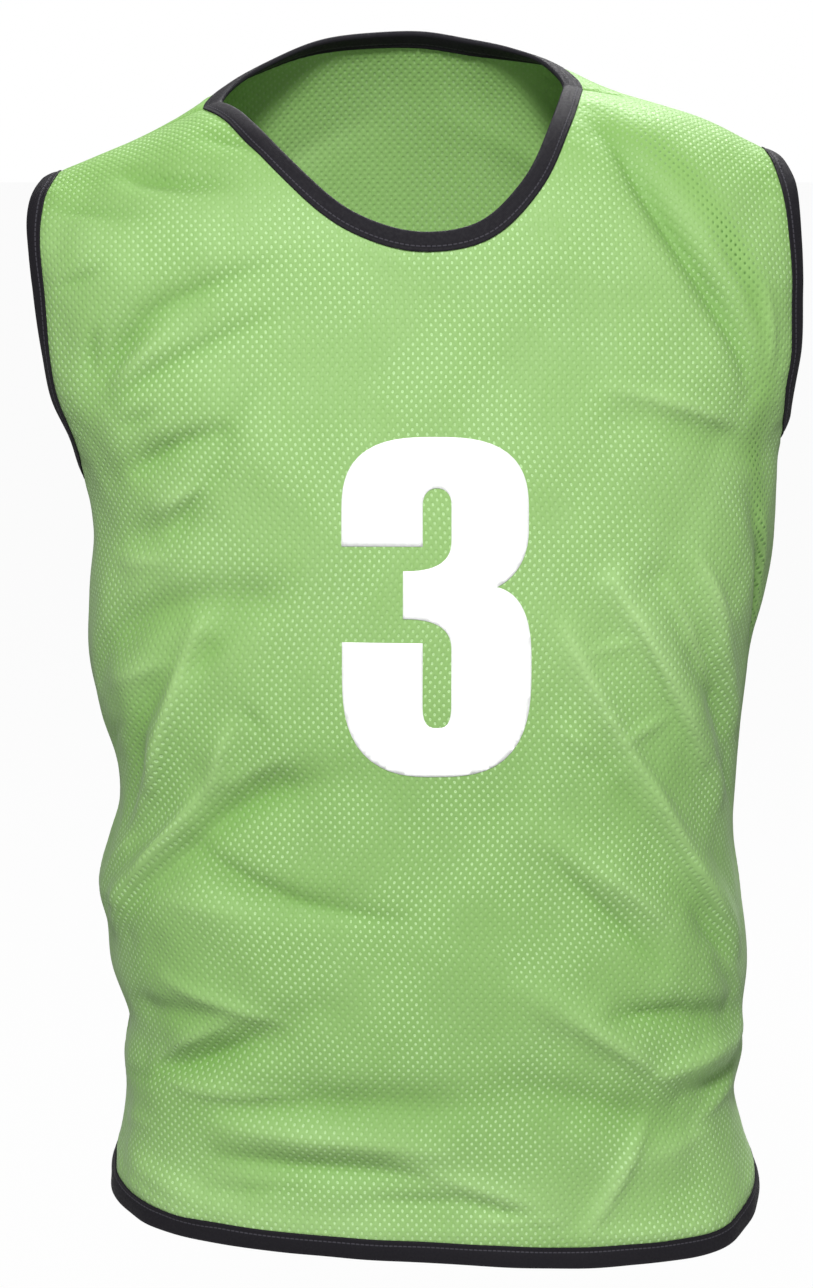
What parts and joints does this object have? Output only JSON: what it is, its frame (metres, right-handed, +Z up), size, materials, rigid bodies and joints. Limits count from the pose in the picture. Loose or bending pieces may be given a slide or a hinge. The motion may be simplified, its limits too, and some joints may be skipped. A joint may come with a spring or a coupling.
{
  "type": "mesh training bib",
  "caption": "Sleeveless mesh training bib with bound neck, armholes and hem, held out in its worn shape, hollow and open at neck, armholes and hem.",
  "frame": {"origin": "midway between the two shoulders at the height of the neck points, where the wearer holds the garment up", "axes": "+Z up the garment from hem to neck, -Y out of its front, +X to the viewer's right of the front"},
  "size_m": [0.4762, 0.2449, 0.756],
  "materials": {
    "front_knit": "bright green polyester mesh knit, matt, with rows of small eyelets",
    "back_knit": "bright green polyester mesh knit, matt, with rows of small eyelets",
    "binding": "near-black folded polyester tape, matt, stitched",
    "number": "flat white heat-pressed numeral on the knit, visual only"
  },
  "bodies": {
    "root": {"front_panel": "front_knit", "back_panel": "back_knit", "neck_binding": "binding", "armhole_binding_left": "binding", "armhole_binding_right": "binding", "hem_binding": "binding"}
  },
  "joints": []
}
